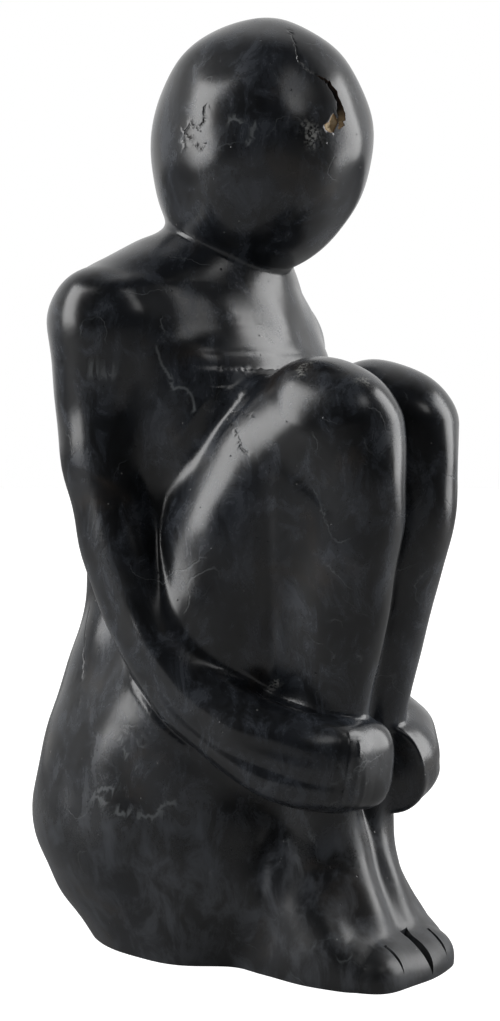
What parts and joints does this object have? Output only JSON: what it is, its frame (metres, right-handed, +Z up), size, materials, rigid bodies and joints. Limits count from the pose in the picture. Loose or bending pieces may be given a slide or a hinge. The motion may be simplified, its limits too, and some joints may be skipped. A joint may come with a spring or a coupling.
{
  "type": "stone figurine",
  "caption": "Carved black stone figure that sits hugging its drawn-up knees, with a smooth egg-shaped head; a free-standing ornament that rests on its flat underside.",
  "frame": {"origin": "on the ground under the middle of the bounding box", "axes": "+Z up; the figure faces -Y, and its left side is +X"},
  "size_m": [0.1726, 0.2122, 0.4401],
  "materials": {
    "stone": "satin polish on near-black stone with grey mottling and thin pale veins"
  },
  "bodies": {
    "root": {"seated_figure": "stone"}
  },
  "joints": []
}
